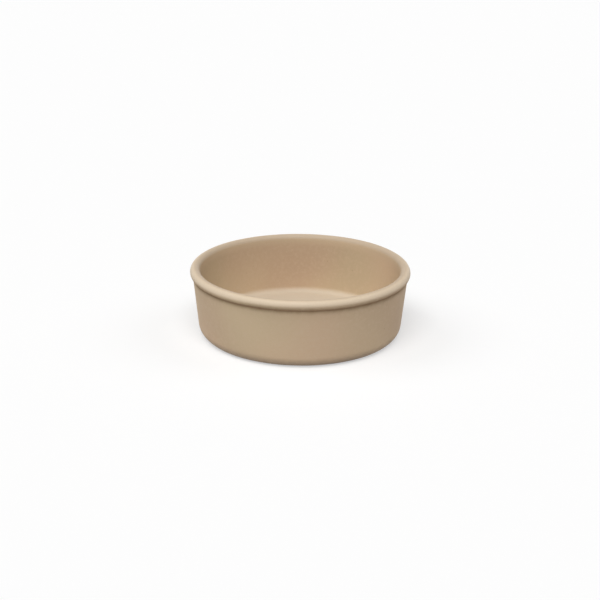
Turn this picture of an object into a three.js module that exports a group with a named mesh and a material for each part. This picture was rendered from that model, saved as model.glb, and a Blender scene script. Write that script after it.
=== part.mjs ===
// A round open casserole dish in glazed stoneware, with no lid and no handles.
// The clay body has a rolled rim, a leaning wall, a rounded base corner and a turned foot ring.
// A glaze coat is fired on over all that shows, and stops just above the foot, which stands bare.
// The bare foot ring parts that coat from the glazed patch in the recess underneath.
// Millimetres, +Z up. The origin is on the dish's axis, on the surface that the foot ring stands on.
import * as THREE from "three";

// Overall sizes, over the glaze.
const RIM_DIAMETER = 160;
const HEIGHT = 51;

// Sizes of the fired clay.
const WALL_THICKNESS = 5.1;
const WALL_DRAFT_DEG = 6.1; // lean of the wall, outwards from the vertical
const RIM_OVERHANG = 1.6; // how far the rolled rim stands out from the wall
const NECK_RADIUS = 1.1; // hollow between the rim's underside and the wall
const FLOOR_THICKNESS = 4.5;
const INNER_CORNER_RADIUS = 5;
const BASE_CORNER_RADIUS = 9.8;
const FOOT_ANGLE_DEG = 16; // between the base corner and the table, where they meet
const FOOT_WIDTH = 6;
const FOOT_HEIGHT = 1.6; // depth of the coved recess inside the foot ring

// Sizes of the glaze.
const GLAZE_THICKNESS = 0.35; // from the clay's surface to the glaze's
const GLAZE_CLEARANCE = 0.005; // keeps the two solids from sharing any space
const GLAZE_LINE_HEIGHT = 0.8; // where the coat stops, above the table
const GLAZE_EDGE_LENGTH = 0.8; // stretch in which the glaze thins out to its edge
const PATCH_MARGIN = 0.6; // bare clay between the patch underneath and the foot ring's cove

// Steps of each round stretch, and of the turn about the axis.
const TURN_STEPS = 64;
const INNER_CORNER_STEPS = 4;
const RIM_STEPS = 10;
const NECK_STEPS = 2;
const BASE_CORNER_STEPS = 5;
const BARE_FOOT_STEPS = 2;
const COVE_STEPS = 3;
const GLAZE_EDGE_STEPS = 2;

const CLAY = new THREE.MeshStandardMaterial({ color: 0xc9ae8d, roughness: 0.85, metalness: 0 });
const GLAZE = new THREE.MeshStandardMaterial({ color: 0xcbb394, roughness: 0.38, metalness: 0 });

const vec = (r, z) => new THREE.Vector2(r, z);
const degrees = THREE.MathUtils.degToRad;

// Directions in the section: up along the leaning wall, and out from it.
const draft = degrees(WALL_DRAFT_DEG);
const wallUp = vec(Math.sin(draft), Math.cos(draft));
const wallOut = vec(Math.cos(draft), -Math.sin(draft));

// The rolled rim is a full round, flush with the wall inside and overhanging it outside.
const rimRadius = (WALL_THICKNESS + RIM_OVERHANG) / 2;
const rimCentre = vec(RIM_DIAMETER / 2, HEIGHT).subScalar(GLAZE_THICKNESS + rimRadius);
const outerWall = WALL_THICKNESS - rimRadius; // from the rim's centre out to the wall's outer face

// A point given by its distance out from the rim's centre, square to the wall, and by its height.
function besideWall(out, z) {
  const start = rimCentre.clone().addScaledVector(wallOut, out);
  return start.addScaledVector(wallUp, (z - start.y) / wallUp.y);
}

// The neck's hollow touches the rim's round and the wall.
const neckOut = outerWall + NECK_RADIUS;
const neckDrop = Math.sqrt((rimRadius + NECK_RADIUS) ** 2 - neckOut ** 2);
const neckCentre = rimCentre
  .clone()
  .addScaledVector(wallOut, neckOut)
  .addScaledVector(wallUp, -neckDrop);

// The floor and the two corners, each corner touching its face of the wall.
const floorTop = FOOT_HEIGHT + FLOOR_THICKNESS;
const innerCorner = besideWall(-rimRadius - INNER_CORNER_RADIUS, floorTop + INNER_CORNER_RADIUS);
const baseCornerHeight = BASE_CORNER_RADIUS * Math.cos(degrees(FOOT_ANGLE_DEG));
const baseCorner = besideWall(outerWall - BASE_CORNER_RADIUS, baseCornerHeight);

// Angles in the section, anticlockwise from straight outwards.
const STRAIGHT_DOWN = -Math.PI / 2;
const outAngle = wallOut.angle() - 2 * Math.PI;
const inAngle = outAngle + Math.PI;
const neckAngle = neckCentre.clone().sub(rimCentre).angle() - 2 * Math.PI;
const glazeLineAngle = -Math.asin((baseCornerHeight - GLAZE_LINE_HEIGHT) / BASE_CORNER_RADIUS);
const glazeEdgeAngle = glazeLineAngle + GLAZE_EDGE_LENGTH / BASE_CORNER_RADIUS;
const footAngle = STRAIGHT_DOWN + degrees(FOOT_ANGLE_DEG);

// A station is a point of the clay's surface, the way out of the clay there, and its share of glaze.
function station(at, out, cover = 1) {
  return { at, out, cover };
}

// Stations along an arc. The clay lies inside a round and outside a hollow.
function arc(centre, radius, from, to, steps, hollow = false) {
  return Array.from({ length: steps + 1 }, (_, i) => {
    const angle = THREE.MathUtils.lerp(from, to, i / steps);
    const away = vec(Math.cos(angle), Math.sin(angle));
    const at = centre.clone().addScaledVector(away, radius);
    return station(at, hollow ? away.negate() : away);
  });
}

// The same stations with the glaze thinning out in a round edge, from full to none.
function thinning(stations) {
  const last = stations.length - 1;
  return stations.map((s, i) => station(s.at, s.out, Math.sqrt(1 - (i / last) ** 2)));
}

const clayPoint = (s) => s.at.clone();
const bondPoint = (s) => s.at.clone().addScaledVector(s.out, GLAZE_CLEARANCE);

function glazePoint(s) {
  const depth = THREE.MathUtils.lerp(GLAZE_CLEARANCE, GLAZE_THICKNESS, s.cover);
  return s.at.clone().addScaledVector(s.out, depth);
}

// A closed solid turned about +Z from a section that starts and ends on the axis.
function turned(name, section, material) {
  const geometry = new THREE.LatheGeometry(section, TURN_STEPS);
  const mesh = new THREE.Mesh(geometry, material);
  mesh.name = name;
  mesh.rotation.x = Math.PI / 2;
  return mesh;
}

// From the floor's middle, up the inside, over the rim and down the outside to the glaze line.
const glazedSide = [
  station(vec(0, floorTop), vec(0, 1)),
  ...arc(innerCorner, INNER_CORNER_RADIUS, STRAIGHT_DOWN, outAngle, INNER_CORNER_STEPS, true),
  ...arc(rimCentre, rimRadius, inAngle, neckAngle, RIM_STEPS),
  ...arc(neckCentre, NECK_RADIUS, neckAngle + Math.PI, inAngle, NECK_STEPS, true).slice(1),
  ...arc(baseCorner, BASE_CORNER_RADIUS, outAngle, glazeEdgeAngle, BASE_CORNER_STEPS),
  ...thinning(
    arc(baseCorner, BASE_CORNER_RADIUS, glazeEdgeAngle, glazeLineAngle, GLAZE_EDGE_STEPS),
  ).slice(1),
];

// From the glaze line to the table, across the foot ring and up its cove to the recess.
const bareCorner = arc(
  baseCorner,
  BASE_CORNER_RADIUS,
  glazeLineAngle,
  footAngle,
  BARE_FOOT_STEPS,
).slice(1);
const coveCentre = vec(bareCorner.at(-1).at.x - FOOT_WIDTH - FOOT_HEIGHT, 0);
const bareFoot = [
  ...bareCorner,
  ...arc(coveCentre, FOOT_HEIGHT, 0, Math.PI / 2, COVE_STEPS, true),
  station(vec(0, FOOT_HEIGHT), vec(0, -1)),
];

// From the middle of the recess out to the edge of the glazed patch.
const patchRadius = coveCentre.x - PATCH_MARGIN;
const patchEdge = Array.from({ length: GLAZE_EDGE_STEPS + 1 }, (_, i) => {
  const inset = GLAZE_EDGE_LENGTH * (1 - i / GLAZE_EDGE_STEPS);
  return station(vec(patchRadius - inset, FOOT_HEIGHT), vec(0, -1));
});
const patchSide = [station(vec(0, FOOT_HEIGHT), vec(0, -1)), ...thinning(patchEdge)];

// A glaze solid runs out along its bond with the clay and back along its own surface.
function glazeSection(side) {
  return [...side.map(bondPoint), ...side.slice(0, -1).reverse().map(glazePoint)];
}

const clayBody = turned("clay_body", [...glazedSide, ...bareFoot].map(clayPoint).reverse(), CLAY);
const glazeCoat = turned("glaze_coat", glazeSection(glazedSide), GLAZE);
const undersideGlaze = turned("underside_glaze", glazeSection(patchSide).reverse(), GLAZE);

const dish = new THREE.Group();
dish.add(clayBody, glazeCoat, undersideGlaze);

export default dish;
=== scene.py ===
"""Looks of the casserole dish: satin beige glaze over stoneware, on a pale floor in soft light."""

import math

import bmesh
import bpy
import numpy as np
from mathutils import Matrix, Vector, noise


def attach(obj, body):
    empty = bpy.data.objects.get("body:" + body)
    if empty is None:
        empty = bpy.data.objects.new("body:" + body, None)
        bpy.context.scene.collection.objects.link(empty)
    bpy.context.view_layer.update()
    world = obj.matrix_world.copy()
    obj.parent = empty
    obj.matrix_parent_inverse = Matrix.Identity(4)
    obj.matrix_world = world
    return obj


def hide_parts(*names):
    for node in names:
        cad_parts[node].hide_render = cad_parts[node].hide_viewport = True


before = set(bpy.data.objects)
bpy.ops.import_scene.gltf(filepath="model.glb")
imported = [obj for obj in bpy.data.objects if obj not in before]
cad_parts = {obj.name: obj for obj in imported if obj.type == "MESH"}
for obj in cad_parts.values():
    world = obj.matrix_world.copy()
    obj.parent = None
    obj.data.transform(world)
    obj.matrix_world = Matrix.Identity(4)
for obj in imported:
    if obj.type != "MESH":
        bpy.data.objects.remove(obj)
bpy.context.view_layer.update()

MM = 0.001

# The dish's section, in millimetres, as in the solids.
RIM_DIAMETER = 160.0
HEIGHT = 51.0
WALL_THICKNESS = 5.1
WALL_DRAFT = math.radians(6.1)
RIM_OVERHANG = 1.6
NECK_RADIUS = 1.1
FLOOR_THICKNESS = 4.5
INNER_CORNER_RADIUS = 5.0
BASE_CORNER_RADIUS = 9.8
FOOT_ANGLE = math.radians(16)
FOOT_WIDTH = 6.0
FOOT_HEIGHT = 1.6
GLAZE_THICKNESS = 0.35
GLAZE_LINE_HEIGHT = 0.8
GLAZE_EDGE_LENGTH = 0.8
PATCH_MARGIN = 0.6

# Wider than in the solids, so that the glaze stays clear of the clay where its line wanders.
GLAZE_CLEARANCE = 0.03

# Places round the axis, and steps of each stretch of the section: fine where it shows, else plain.
TURN = 288
FINE_STEPS = {"floor": 26, "inner": 14, "wall": 30, "rim": 44, "neck": 12, "base": 20, "edge": 8}
PLAIN_STEPS = {"floor": 3, "inner": 5, "wall": 3, "rim": 16, "neck": 4, "base": 6, "edge": 2}
BARE_CORNER_STEPS = 8
FOOT_RING_STEPS = 12
COVE_STEPS = 12
RECESS_STEPS = 6

# Hand-made unevenness, in millimetres. It only takes away, so the dish stays inside its solids.
INSET = 0.03
OVAL = 0.12
OVAL_PHASE = 0.9
RIM_DIP = 0.14
SWELL = 0.05
SWELL_LENGTH = 17.0
SWELL_SEED = 3.1
SWELL_SINK = 0.6
RIPPLE = 0.012
RIPPLE_LENGTH = 5.0
RIPPLE_SEED = 11.7

# Waves of the rim's height round the dish: share of the dip, count and phase.
DIP_WAVES = ((0.35, 2, 2.4), (0.15, 5, 0.0))

# How the glaze line wanders round the dish, and from where on the base corner the glaze goes with it.
LINE_WANDER = 0.35
LINE_WANDER_LENGTH = 9.0
LINE_SEED = 5.3
WANDER_RADIUS = 64.0
WANDER_GAIN = 1.6
SLIDE_START = math.radians(-40)

# The glazed patch underneath: its rings, and how its border wavers and its face swells.
PATCH_RINGS = 18
PATCH_EDGE_STEPS = 8
PATCH_BACK_SKIP = 4
PATCH_MIDDLE = 3.0
PATCH_BORDER = 3.0
PATCH_PULL = 6.0
PATCH_WANDER = 0.5 * LINE_WANDER
PATCH_LINE_SEED = 21.9
PATCH_SWELL = 0.5 * SWELL
PATCH_SWELL_SEED = 8.2

# Directions in the section: up along the leaning wall, out from it, and straight up and down.
UP = np.array([math.sin(WALL_DRAFT), math.cos(WALL_DRAFT)])
OUT = np.array([math.cos(WALL_DRAFT), -math.sin(WALL_DRAFT)])
FACING_UP = np.array([0.0, 1.0])
FACING_DOWN = np.array([0.0, -1.0])
DOWN_ANGLE = -math.pi / 2

# Within this, a place counts as on the rim's round, and a surface as facing straight up.
TOLERANCE = 0.01

rim_radius = (WALL_THICKNESS + RIM_OVERHANG) / 2
rim_centre = np.array([RIM_DIAMETER / 2, HEIGHT]) - (GLAZE_THICKNESS + rim_radius)
outer_wall = WALL_THICKNESS - rim_radius


def beside_wall(out, z):
    """The point at a distance out from the rim's centre, square to the wall, and at a height."""
    start = rim_centre + OUT * out
    return start + UP * (z - start[1]) / UP[1]


neck_out = outer_wall + NECK_RADIUS
neck_drop = math.sqrt((rim_radius + NECK_RADIUS) ** 2 - neck_out**2)
neck_centre = rim_centre + OUT * neck_out - UP * neck_drop
floor_top = FOOT_HEIGHT + FLOOR_THICKNESS
inner_corner = beside_wall(-rim_radius - INNER_CORNER_RADIUS, floor_top + INNER_CORNER_RADIUS)
base_height = BASE_CORNER_RADIUS * math.cos(FOOT_ANGLE)
base_corner = beside_wall(outer_wall - BASE_CORNER_RADIUS, base_height)
out_angle = -WALL_DRAFT
in_angle = out_angle + math.pi
neck_angle = math.atan2(*(neck_centre - rim_centre)[::-1])
line_angle = -math.asin((base_height - GLAZE_LINE_HEIGHT) / BASE_CORNER_RADIUS)
edge_angle = line_angle + GLAZE_EDGE_LENGTH / BASE_CORNER_RADIUS
foot_angle = DOWN_ANGLE + FOOT_ANGLE


def arc(centre, radius, start, end, steps, hollow=False):
    """Points along an arc with the way out of the clay at each."""
    angles = np.linspace(start, end, steps + 1)
    away = np.stack([np.cos(angles), np.sin(angles)], axis=1)
    return centre + radius * away, -away if hollow else away


def line(start, end, out, steps):
    """Points strictly between two ends, with one way out of the clay."""
    share = np.linspace(0, 1, steps + 1)[1:-1, None]
    points = start + (end - start) * share
    return points, np.tile(out, (len(points), 1))


def rest(stretch):
    """A stretch without its first point, where the one before it ends."""
    return stretch[0][1:], stretch[1][1:]


def joined(*stretches):
    return np.concatenate([s[0] for s in stretches]), np.concatenate([s[1] for s in stretches])


def thinned(share):
    """The glaze left at a share of the way to its rounded edge."""
    return np.sqrt(1 - share**2)


def glaze_depth(cover):
    """How far the glaze stands off the clay, for its share of the full thickness."""
    return GLAZE_CLEARANCE + (GLAZE_THICKNESS - GLAZE_CLEARANCE) * cover


def glazed_side(steps):
    """Points from near the floor's middle, over the rim, to the glaze line, and each one's glaze."""
    inner = arc(inner_corner, INNER_CORNER_RADIUS, DOWN_ANGLE, out_angle, steps["inner"], True)
    rim = arc(rim_centre, rim_radius, in_angle, neck_angle, steps["rim"])
    neck = arc(neck_centre, NECK_RADIUS, neck_angle + math.pi, in_angle, steps["neck"], True)
    base = arc(base_corner, BASE_CORNER_RADIUS, out_angle, edge_angle, steps["base"])
    edge = arc(base_corner, BASE_CORNER_RADIUS, edge_angle, line_angle, steps["edge"])
    floor = line(np.array([0, floor_top]), inner[0][0], FACING_UP, steps["floor"])
    inside = line(inner[0][-1], rim[0][0], -OUT, steps["wall"])
    outside = line(neck[0][-1], base[0][0], OUT, steps["wall"])
    at, out = joined(floor, inner, inside, rim, rest(neck), outside, base, rest(edge))
    cover = np.ones(len(at))
    cover[-steps["edge"] :] = thinned(np.arange(1, steps["edge"] + 1) / steps["edge"])
    return at, out, cover


def swung(points):
    """Rings about the axis through points of the section: rows of TURN places."""
    turn = np.linspace(0, 2 * math.pi, TURN, endpoint=False)
    x = points[:, :1] * np.cos(turn)
    y = points[:, :1] * np.sin(turn)
    z = np.repeat(points[:, 1:], TURN, axis=1)
    return np.stack([x, y, z], axis=2)


def warped(places):
    """A slightly oval dish with a rim that isn't quite level."""
    turn = np.arctan2(places[..., 1], places[..., 0])
    rise = np.clip(places[..., 2] / HEIGHT, 0, 1)
    inwards = (INSET + OVAL * (0.5 + 0.5 * np.cos(2 * turn + OVAL_PHASE))) * rise
    waves = sum(share * np.sin(count * turn + phase) for share, count, phase in DIP_WAVES)
    dip = (INSET + RIM_DIP * (0.5 + waves)) * rise**3
    result = places.copy()
    result[..., 0] -= inwards * np.cos(turn)
    result[..., 1] -= inwards * np.sin(turn)
    result[..., 2] -= dip
    return result


def noise_at(places, length, seed):
    """Noise from about -1 to 1, whose features are about length millimetres."""
    flat = places.reshape(-1, 3) / length + seed
    values = np.array([noise.noise(Vector(p)) for p in flat])
    return values.reshape(places.shape[:-1])


def smooth(value, low, high):
    """0 at low, 1 at high, and an even curve between them."""
    share = np.clip((value - low) / (high - low), 0, 1)
    return share * share * (3 - 2 * share)


def wander(seed):
    """A wavering value for each place of a ring, from -1 to 1."""
    ring = swung(np.array([[WANDER_RADIUS, 0.0]]))
    return np.clip(noise_at(ring, LINE_WANDER_LENGTH, seed)[0] * WANDER_GAIN, -1, 1)


def slid(places, at, wavering):
    """Rings of the base corner moved along it by a wavering angle, most at the glaze line."""
    lift = at - base_corner
    angle = np.arctan2(lift[:, 1], lift[:, 0])
    share = (lift[:, 0] > 0) * (lift[:, 1] < 0) * smooth(angle, SLIDE_START, line_angle)
    turn = np.arctan2(places[..., 1], places[..., 0])
    swing = share[:, None] * wavering
    r = np.hypot(places[..., 0], places[..., 1]) - base_corner[0]
    z = places[..., 2] - base_corner[1]
    new_r = base_corner[0] + r * np.cos(swing) - z * np.sin(swing)
    new_z = base_corner[1] + r * np.sin(swing) + z * np.cos(swing)
    return np.stack([new_r * np.cos(turn), new_r * np.sin(turn), new_z], axis=2)


def solid(name, rings, first, last):
    """A closed mesh through rings, with a point on the axis at either end."""
    verts = [first, *map(tuple, np.concatenate(rings)), last]
    end = len(verts) - 1
    last_ring = end - TURN
    faces = []
    for i in range(TURN):
        j = (i + 1) % TURN
        faces.append((0, 1 + i, 1 + j))
        for here in range(1, last_ring, TURN):
            there = here + TURN
            faces.append((here + i, there + i, there + j, here + j))
        faces.append((last_ring + i, end, last_ring + j))
    mesh = bpy.data.meshes.new(name)
    mesh.from_pydata([Vector(v) * MM for v in verts], [], faces)
    work = bmesh.new()
    work.from_mesh(mesh)
    bmesh.ops.recalc_face_normals(work, faces=work.faces)
    work.to_mesh(mesh)
    work.free()
    mesh.shade_smooth()
    piece = bpy.data.objects.new(name, mesh)
    bpy.context.scene.collection.objects.link(piece)
    return piece


def per_vertex(piece, shares):
    """Values for each vertex from one for each ring, and none on the rings after those."""
    values = np.zeros(len(piece.data.vertices))
    values[0] = shares[0]
    values[1 : 1 + len(shares) * TURN] = np.repeat(shares, TURN)
    return values


def set_attribute(piece, name, values):
    layer = piece.data.attributes.new(name, "FLOAT", "POINT")
    layer.data.foreach_set("value", np.asarray(values, dtype=np.float32))


# Where the glaze is coloured paler or darker than on the walls, in millimetres: the inner corner's rise
# in which the pale pool on the floor, partly a painted sheen, thins out, the top of the inner wall,
# painted as a highlight, the crease under the rim, painted shade with a faint wide painted shade on the
# wall below it, and the base corner, painted darker towards the foot as shade.
POOL_RISE = 5.0
LIP_HIGHLIGHT_HEIGHTS = (42.0, 47.7)
CREASE_WIDTH = 2.2
CREASE_RISE = 0.9
HALO_WIDTH = 6.0
HALO_SHADE = 0.09
BASE_SHADE_HEIGHTS = (8.0, 1.5)
BASE_SHADE_DEPTH = 0.8

# Degrees outwards from the rim's top, with soft ends: where the glaze lies thin and greyish, and where
# the rim's front is paler, partly glaze breaking pale and partly a painted highlight.
THIN_START = (-85, -55)
BREAK_START = (-5, 38)
BREAK_END = (72, 106)

# How much smoother the glaze is than on the walls. In the crease it is rougher.
SHEEN_SHADES = {"pale_pool_and_painted_sheen": 1, "rim_top": 1, "rim_break_and_painted_highlight": 1, "painted_crease_shade": -1.8}


def outwards(out):
    """Degrees by which the surface faces outwards, from straight up."""
    return np.degrees(np.arctan2(out[:, 0], out[:, 1]))


def glaze_shades(at, out):
    """Shares of each paler or darker shade along the section, among them painted highlights and shade.
    """
    inside = (out[:, 0] < TOLERANCE) & (at[:, 1] < HEIGHT / 2)
    # Paler floor: partly a pale pool of glaze, partly a painted sheen.
    pale_pool_and_painted_sheen = inside * smooth(at[:, 1], floor_top + POOL_RISE, floor_top)
    # Painted highlight along the top of the inner wall.
    painted_lip_highlight = (out[:, 0] < 0) * smooth(at[:, 1], *LIP_HIGHLIGHT_HEIGHTS)
    lean = outwards(out)
    on_rim = np.linalg.norm(at - rim_centre, axis=1) < rim_radius + TOLERANCE
    rim_top = on_rim * smooth(lean, *THIN_START) * (1 - smooth(lean, *BREAK_START))
    # Paler rim front: partly glaze breaking pale, partly a painted highlight.
    rim_break_and_painted_highlight = on_rim * smooth(lean, *BREAK_START) * (1 - smooth(lean, *BREAK_END))
    # Painted shade in the crease under the rim, with a faint wide painted shade below it on the wall.
    neck_middle = neck_centre - NECK_RADIUS * OUT + CREASE_RISE * UP
    away = np.linalg.norm(at - neck_middle, axis=1)
    dark_line = np.exp(-((away / CREASE_WIDTH) ** 2))
    halo = HALO_SHADE * ~on_rim * np.exp(-((away / HALO_WIDTH) ** 2))
    painted_crease_shade = (dark_line + halo * (1 - dark_line)) * (out[:, 0] > 0)
    # Painted shade, darker towards the foot on the downward-facing base corner.
    edge = BASE_SHADE_DEPTH * (out[:, 1] < 0) * smooth(at[:, 1], *BASE_SHADE_HEIGHTS)
    return {
        "pale_pool_and_painted_sheen": pale_pool_and_painted_sheen,
        "painted_lip_highlight": painted_lip_highlight,
        "rim_top": rim_top,
        "rim_break_and_painted_highlight": rim_break_and_painted_highlight,
        "painted_crease_shade": painted_crease_shade,
        "edge": edge,
    }


# Broad patches of the glaze, lighter or darker and pinker or yellower: a seed for the inside and one
# for the outside, which takes over between these degrees outwards from the rim's top.
CLOUD_LENGTH = 45.0
CLOUD_SEEDS = {"cloud": (51.9, 21.8), "blush": (7.1, 46.3)}
OUTSIDE_LEAN = (-30, 30)


def set_clouds(piece, outside):
    places = np.array([v.co for v in piece.data.vertices]) / MM
    for name, seeds in CLOUD_SEEDS.items():
        inner, outer = (noise_at(places, CLOUD_LENGTH, seed) for seed in seeds)
        set_attribute(piece, name, np.clip(0.5 + inner + (outer - inner) * outside, 0, 1))


def glaze_coat():
    """The coat's own surface in fine detail, closed by its bond with the clay."""
    at, out, cover = glazed_side(FINE_STEPS)
    depth = glaze_depth(cover)[:, None]
    surface = swung(at + out * depth)
    away = swung(at + out * (depth + 1)) - surface
    swell = SWELL * (noise_at(surface, SWELL_LENGTH, SWELL_SEED) - SWELL_SINK)
    ripple = RIPPLE * noise_at(surface, RIPPLE_LENGTH, RIPPLE_SEED)
    surface = surface + away * ((swell + ripple) * cover[:, None])[..., None]
    wavering = LINE_WANDER / BASE_CORNER_RADIUS * wander(LINE_SEED)
    surface = warped(slid(surface, at, wavering))

    back_at, back_out, _ = glazed_side(PLAIN_STEPS)
    bond = swung(back_at + back_out * GLAZE_CLEARANCE)
    bond = warped(slid(bond, back_at, wavering))[:-1][::-1]

    first = (0, 0, surface[0, 0, 2])
    last = (0, 0, bond[-1, 0, 2])
    piece = solid("glaze_coat_look", [*surface, *bond], first, last)
    shades = glaze_shades(at, out)
    for name, share in shades.items():
        set_attribute(piece, name, per_vertex(piece, share))
    sheen = sum(weight * shades[name] for name, weight in SHEEN_SHADES.items())
    set_attribute(piece, "sheen", per_vertex(piece, sheen))
    set_clouds(piece, per_vertex(piece, smooth(outwards(out), *OUTSIDE_LEAN)))
    return piece


def clay_body():
    """The fired clay, plain under the glaze and fine where it stands bare, and its cove's start."""
    at, _, _ = glazed_side(PLAIN_STEPS)
    bare = arc(base_corner, BASE_CORNER_RADIUS, line_angle, foot_angle, BARE_CORNER_STEPS)
    foot_edge = bare[0][-1]
    cove_centre = np.array([foot_edge[0] - FOOT_WIDTH - FOOT_HEIGHT, 0.0])
    cove = arc(cove_centre, FOOT_HEIGHT, 0, math.pi / 2, COVE_STEPS, True)
    ring = line(foot_edge, cove[0][0], FACING_DOWN, FOOT_RING_STEPS)
    recess = line(cove[0][-1], np.array([0, FOOT_HEIGHT]), FACING_DOWN, RECESS_STEPS)
    foot, _ = joined(rest(bare), ring, cove, recess)
    places = warped(swung(np.concatenate([at, foot])))
    first = (0, 0, places[0, 0, 2])
    last = (0, 0, FOOT_HEIGHT)
    return solid("clay_body_look", list(places), first, last), cove_centre[0]


def underside_glaze(cove_start):
    """The glazed patch in the recess, with a wavering rounded edge."""
    edge = cove_start - PATCH_MARGIN
    share = np.linspace(0, 1, PATCH_EDGE_STEPS + 1)
    face = np.linspace(PATCH_MIDDLE, edge - PATCH_BORDER, PATCH_RINGS)
    radii = np.concatenate([face, edge - GLAZE_EDGE_LENGTH * (1 - share)])
    cover = np.concatenate([np.ones(PATCH_RINGS), thinned(share)])
    surface = swung(np.stack([radii, FOOT_HEIGHT - glaze_depth(cover)], axis=1))
    wavering = PATCH_WANDER * (wander(PATCH_LINE_SEED) - 1)
    pull = np.clip((radii - edge + PATCH_PULL) / PATCH_PULL, 0, 1)
    scale = 1 + pull[:, None] * wavering / radii[:, None]
    surface[..., :2] *= scale[..., None]
    surface[..., 2] += PATCH_SWELL * noise_at(surface, SWELL_LENGTH, PATCH_SWELL_SEED) * cover[:, None]
    back = surface[:-1].copy()[::-PATCH_BACK_SKIP]
    back[..., 2] = FOOT_HEIGHT - GLAZE_CLEARANCE
    first = (0, 0, surface[0, 0, 2])
    last = (0, 0, FOOT_HEIGHT - GLAZE_CLEARANCE)
    piece = solid("underside_glaze_look", [*surface, *back], first, last)
    set_clouds(piece, 1.0)
    return piece


def connect(tree, socket, value):
    """An input linked to another node's output, or set to a plain value."""
    if isinstance(value, bpy.types.NodeSocket):
        tree.links.new(value, socket)
    else:
        socket.default_value = value


def add_node(tree, kind, inputs=(), **settings):
    """A new node with its settings and inputs."""
    node = tree.nodes.new(kind)
    for key, value in settings.items():
        setattr(node, key, value)
    for key, value in dict(inputs).items():
        connect(tree, node.inputs[key], value)
    return node


# The share of a speck's radius that has its full tone, before it fades.
SPECK_CORE = 0.55


class Nodes:
    """A short way to write a material's nodes, with lengths in millimetres."""

    def __init__(self, name):
        self.material = bpy.data.materials.new(name)
        self.material.use_nodes = True
        self.tree = self.material.node_tree
        self.shader = self.tree.nodes["Principled BSDF"]
        self.coords = self.add("ShaderNodeTexCoord").outputs["Object"]

    def add(self, kind, inputs=(), **settings):
        return add_node(self.tree, kind, inputs, **settings)

    def set(self, key, value):
        connect(self.tree, self.shader.inputs[key], value)

    def attribute(self, name):
        return self.add("ShaderNodeAttribute", attribute_name=name).outputs["Fac"]

    def noise(self, length, detail, rough=0.5):
        """Noise whose features are about length millimetres."""
        scale = 1 / (length * MM)
        inputs = {"Vector": self.coords, "Scale": scale, "Detail": detail, "Roughness": rough}
        return self.add("ShaderNodeTexNoise", inputs).outputs["Fac"]

    def spread(self, value, low, high, to_low, to_high):
        """A value from low to high, moved to the stretch from to_low to to_high."""
        ends = {"From Min": low, "From Max": high, "To Min": to_low, "To Max": to_high}
        return self.add("ShaderNodeMapRange", {"Value": value, **ends}).outputs["Result"]

    def mottle(self, grain, ends):
        """Noise of one grain, spread between given ends."""
        return self.spread(self.noise(*grain), *ends)

    def specks(self, apart, share, smallest, largest, shift):
        """Round specks: how far apart, the share of places that has one, and their radii."""
        offset = (shift * MM, shift * MM, shift * MM)
        moved = self.add("ShaderNodeVectorMath", {0: self.coords, 1: offset}, operation="ADD")
        inputs = {"Vector": moved.outputs[0], "Scale": 1 / (apart * MM)}
        cell = self.add("ShaderNodeTexVoronoi", inputs)
        chance = self.add("ShaderNodeSeparateColor", {0: cell.outputs["Color"]})
        radius = self.spread(chance.outputs[1], 0, 1, smallest / apart, largest / apart)
        away = self.math("DIVIDE", cell.outputs["Distance"], radius)
        chosen = self.math("LESS_THAN", chance.outputs[0], share)
        return self.math("MULTIPLY", chosen, self.spread(away, SPECK_CORE, 1, 1, 0))

    def math(self, operation, a, b):
        return self.add("ShaderNodeMath", {0: a, 1: b}, operation=operation).outputs[0]

    def mix(self, share, a, b):
        """One colour where the share is 0, and the other where it is 1."""
        node = self.add("ShaderNodeMix", data_type="RGBA")
        sockets = {socket.identifier: socket for socket in node.inputs}
        for key, value in {"Factor_Float": share, "A_Color": a, "B_Color": b}.items():
            connect(self.tree, sockets[key], value)
        return next(socket for socket in node.outputs if socket.identifier == "Result_Color")

    def bump(self, height, strength, distance, under=None):
        inputs = {"Height": height, "Strength": strength, "Distance": distance * MM}
        if under is not None:
            inputs["Normal"] = under
        return self.add("ShaderNodeBump", inputs).outputs["Normal"]


GLAZE_TONE = (0.588, 0.443, 0.298, 1)
GLAZE_PALE = (0.632, 0.490, 0.343, 1)
GRAIN_TONE = (0.520, 0.375, 0.235, 1)
SPECK_TONE = (0.30, 0.20, 0.12, 1)
SHADE_TONES = {
    # Paler floor: partly a pale pool of glaze and partly a painted sheen.
    "pale_pool_and_painted_sheen": (0.586, 0.502, 0.394, 1),
    # Painted highlight along the top of the inner wall.
    "painted_lip_highlight": (0.640, 0.496, 0.342, 1),
    "rim_top": (0.532, 0.424, 0.310, 1),
    # Paler rim front: partly glaze breaking pale and partly a painted highlight.
    "rim_break_and_painted_highlight": (0.704, 0.580, 0.434, 1),
    # Painted shade in the crease under the rim.
    "painted_crease_shade": (0.248, 0.158, 0.086, 1),
    # Painted shade that darkens the base corner towards the foot.
    "edge": (0.320, 0.240, 0.180, 1),
}

# How far the broad patches go to lighter and darker, and to pinker and yellower.
CLOUD_DEPTH = 0.09
BLUSH_DEPTH = 0.02

# Finer noise in the glaze: length, detail and roughness, and the stretch of it that counts with what
# that becomes. They are pale mottling, uneven ends of the shades, dark grain, roughness and peel.
MOTTLE_NOISE = (2.6, 3, 0.6)
MOTTLE_ENDS = (0.45, 0.75, 0, 0.55)
UNEVEN_NOISE = (5, 4, 0.6)
UNEVEN_ENDS = (0.25, 0.75, -0.14, 0.14)
GRAIN_NOISE = (0.55, 3, 0.65)
GRAIN_ENDS = (0.35, 0.7, 0, 0.25)
ROUGH_NOISE = (6, 3)
ROUGH_ENDS = (0.3, 0.7, 0.60, 0.72)
PEEL_NOISE = (1.4, 2)

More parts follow.
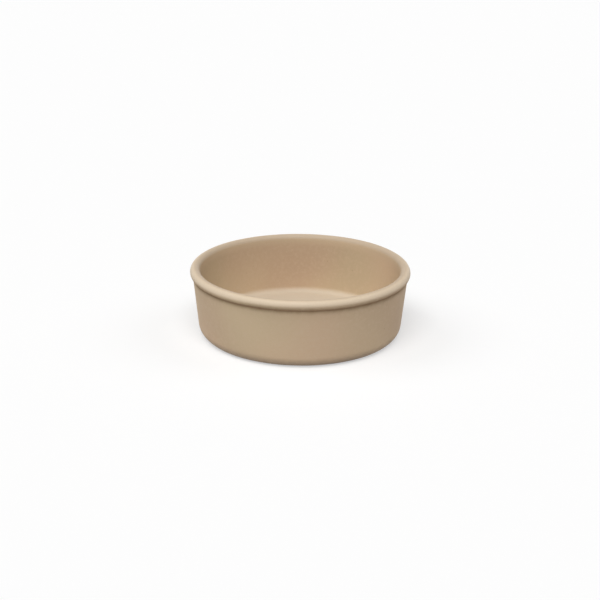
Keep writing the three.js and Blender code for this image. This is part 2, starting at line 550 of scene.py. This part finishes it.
# Specks of iron with small pits, and finer dust.
IRON_SPECKS = {"apart": 4.8, "share": 0.2, "smallest": 0.15, "largest": 0.5, "shift": 13}
IRON_DEPTH = 0.55
DUST_SPECKS = {"apart": 2.1, "share": 0.12, "smallest": 0.05, "largest": 0.16, "shift": 47}
DUST_DEPTH = 0.5

# Strength and depth of the relief.
PEEL_RELIEF = (0.12, 0.05)
PIT_RELIEF = (0.35, 0.06)

# How much roughness the smooth floor and rim lose, and how the glaze reflects.
SHEEN_DEPTH = 0.18
GLAZE_SPECULAR = 0.2
GLAZE_IOR = 1.5


def shifted(tone, light, blush):
    """A tone made lighter or darker, and pinker or yellower."""
    red, green, blue, _ = tone
    level = 1 + light
    return (red * level * (1 + blush), green * level * (1 - blush), blue * level, 1)


def clouded(n, blush):
    """The walls' tone with its broad lighter and darker patches, made pinker or yellower."""
    dark, light = (shifted(GLAZE_TONE, depth, blush) for depth in (-CLOUD_DEPTH, CLOUD_DEPTH))
    return n.mix(n.attribute("cloud"), dark, light)


def glaze_colour(n, iron):
    """The mottled tone of the walls, then the shades along the section, among them painted highlights
    and shade, then grain and specks.
    """
    colour = n.mix(n.attribute("blush"), clouded(n, -BLUSH_DEPTH), clouded(n, BLUSH_DEPTH))
    colour = n.mix(n.mottle(MOTTLE_NOISE, MOTTLE_ENDS), colour, GLAZE_PALE)
    uneven = n.mottle(UNEVEN_NOISE, UNEVEN_ENDS)
    for name, tone in SHADE_TONES.items():
        share = n.attribute(name)
        # This is 1 where the shade is half there, and 0 where it is full or missing.
        fading = n.math("MULTIPLY", n.math("MULTIPLY", share, n.math("SUBTRACT", 1, share)), 4)
        colour = n.mix(n.math("ADD", share, n.math("MULTIPLY", fading, uneven)), colour, tone)
    colour = n.mix(n.mottle(GRAIN_NOISE, GRAIN_ENDS), colour, GRAIN_TONE)
    dust = n.specks(**DUST_SPECKS)
    colour = n.mix(n.math("MULTIPLY", dust, DUST_DEPTH), colour, SPECK_TONE)
    return n.mix(n.math("MULTIPLY", iron, IRON_DEPTH), colour, SPECK_TONE)


def glaze_material():
    n = Nodes("satin_glaze")
    iron = n.specks(**IRON_SPECKS)
    n.set("Base Color", glaze_colour(n, iron))
    rough = n.mottle(ROUGH_NOISE, ROUGH_ENDS)
    sheen = n.math("MULTIPLY", n.attribute("sheen"), SHEEN_DEPTH)
    n.set("Roughness", n.math("SUBTRACT", rough, sheen))
    n.set("Specular IOR Level", GLAZE_SPECULAR)
    n.set("IOR", GLAZE_IOR)
    peel = n.bump(n.noise(*PEEL_NOISE), *PEEL_RELIEF)
    pits = n.spread(iron, 0, 1, 1, 0)
    n.set("Normal", n.bump(pits, *PIT_RELIEF, peel))
    return n.material


# The bare clay: broad paler patches, and a fine dark grain that is also its roughness and its relief.
CLAY_TONE = (0.560, 0.400, 0.255, 1)
CLAY_PALE = (0.640, 0.485, 0.330, 1)
CLAY_NOISE = (9, 4)
CLAY_ENDS = (0.35, 0.65, 0, 1)
GROG_TONE = (0.22, 0.14, 0.085, 1)
GROG_NOISE = (0.5, 4, 0.7)
GROG_ENDS = (0.5, 0.8, 0, 0.4)
CLAY_ROUGH_ENDS = (0.3, 0.7, 0.8, 0.95)
CLAY_RELIEF = (0.5, 0.12)


def clay_material():
    n = Nodes("bare_clay")
    colour = n.mix(n.mottle(CLAY_NOISE, CLAY_ENDS), CLAY_TONE, CLAY_PALE)
    grain = n.noise(*GROG_NOISE)
    n.set("Base Color", n.mix(n.spread(grain, *GROG_ENDS), colour, GROG_TONE))
    n.set("Roughness", n.spread(grain, *CLAY_ROUGH_ENDS))
    n.set("Normal", n.bump(grain, *CLAY_RELIEF))
    return n.material


glaze = glaze_material()
clay = clay_material()

coat = glaze_coat()
body, cove_start = clay_body()
patch = underside_glaze(cove_start)
for piece, node, slot, material in (
    (coat, "glaze_coat", "glaze", glaze),
    (body, "clay_body", "clay", clay),
    (patch, "underside_glaze", "glaze", glaze),
):
    piece.data.materials.append(material)
    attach(piece, "root")
    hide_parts(node)

# The floor is white to the eye and in reflections, and throws back less light than white would.
# A share of its white is its own, which keeps the dish's shadow on it light.
FLOOR_SIZE = 12.0
FLOOR_GLOW = 0.5
FLOOR_SEEN = (0.96, 0.96, 0.96, 1)
FLOOR_BOUNCE = (0.68, 0.68, 0.68, 1)


def seen_share(tree):
    """1 for rays from the camera and for those that make reflections, else 0."""
    path = add_node(tree, "ShaderNodeLightPath").outputs
    total = path["Is Camera Ray"]
    for name in ("Is Glossy Ray", "Is Transmission Ray"):
        either = {0: total, 1: path[name]}
        total = add_node(tree, "ShaderNodeMath", either, operation="MAXIMUM").outputs[0]
    return total


def mixed(tree, share, first, second):
    """The first shader where the share is 0, and the second where it is 1."""
    inputs = {0: share, 1: first.outputs[0], 2: second.outputs[0]}
    return add_node(tree, "ShaderNodeMixShader", inputs)


def floor_material():
    material = bpy.data.materials.new("pale_floor")
    material.use_nodes = True
    tree = material.node_tree
    tree.nodes.remove(tree.nodes["Principled BSDF"])
    matt = add_node(tree, "ShaderNodeBsdfDiffuse", {"Color": FLOOR_SEEN})
    glow = add_node(tree, "ShaderNodeEmission")
    seen = mixed(tree, FLOOR_GLOW, matt, glow)
    bounce = add_node(tree, "ShaderNodeBsdfDiffuse", {"Color": FLOOR_BOUNCE})
    both = mixed(tree, seen_share(tree), bounce, seen)
    tree.links.new(both.outputs[0], tree.nodes["Material Output"].inputs[0])
    return material


def make_floor():
    half = FLOOR_SIZE / 2
    corners = [(-half, -half, 0), (half, -half, 0), (half, half, 0), (-half, half, 0)]
    mesh = bpy.data.meshes.new("floor")
    mesh.from_pydata(corners, [], [(0, 1, 2, 3)])
    mesh.materials.append(floor_material())
    floor = bpy.data.objects.new("floor", mesh)
    bpy.context.scene.collection.objects.link(floor)


make_floor()

# Big soft lights, a key high above the camera and a fill from either side, in degrees. Azimuth 0 is on
# the camera's side, and 90 to its right.
SUNS = {
    "key": {"azimuth": -9, "elevation": 60, "spread": 45, "strength": 2.46},
    "left_fill": {"azimuth": -90, "elevation": 46, "spread": 40, "strength": 0.87},
    "right_fill": {"azimuth": 96, "elevation": 43, "spread": 40, "strength": 0.60},
}
WHITE = (1, 1, 1, 1)


def make_world():
    """White to the eye and in reflections, with no light of its own."""
    world = bpy.data.worlds.new("studio")
    bpy.context.scene.world = world
    world.use_nodes = True
    tree = world.node_tree
    background = tree.nodes["Background"]
    background.inputs["Color"].default_value = WHITE
    tree.links.new(seen_share(tree), background.inputs["Strength"])


def make_sun(name, azimuth, elevation, spread, strength):
    data = bpy.data.lights.new(name, "SUN")
    data.energy = strength
    data.angle = math.radians(spread)
    lamp = bpy.data.objects.new(name, data)
    side = math.radians(azimuth)
    rise = math.radians(elevation)
    away = Vector((math.sin(side) * math.cos(rise), -math.cos(side) * math.cos(rise), math.sin(rise)))
    lamp.matrix_world = (-away).to_track_quat("-Z", "Y").to_matrix().to_4x4()
    bpy.context.scene.collection.objects.link(lamp)


make_world()
for name, settings in SUNS.items():
    make_sun(name, **settings)

# The camera that took the photograph, fitted to the dish's outline. Places are in metres.
CAMERA_DISTANCE = 0.960
CAMERA_ELEVATION = math.radians(19.877)
CAMERA_ROLL = math.radians(0.573)
CAMERA_LENS = 78.62
SENSOR_WIDTH = 36
MIDDLE_HEIGHT = 0.0251
AIM_BELOW_MIDDLE = 0.00128


def make_camera():
    data = bpy.data.cameras.new("camera")
    data.sensor_width = SENSOR_WIDTH
    data.lens = CAMERA_LENS
    camera = bpy.data.objects.new("camera", data)
    bpy.context.scene.collection.objects.link(camera)
    back = Vector((0, -math.cos(CAMERA_ELEVATION), math.sin(CAMERA_ELEVATION)))
    up = Vector((0, math.sin(CAMERA_ELEVATION), math.cos(CAMERA_ELEVATION)))
    aim = Vector((0, 0, MIDDLE_HEIGHT)) - up * AIM_BELOW_MIDDLE
    turn = (-back).to_track_quat("-Z", "Y").to_matrix() @ Matrix.Rotation(CAMERA_ROLL, 3, "Z")
    camera.matrix_world = Matrix.Translation(aim + back * CAMERA_DISTANCE) @ turn.to_4x4()
    bpy.context.scene.camera = camera


make_camera()
bpy.context.scene.view_settings.view_transform = "Standard"
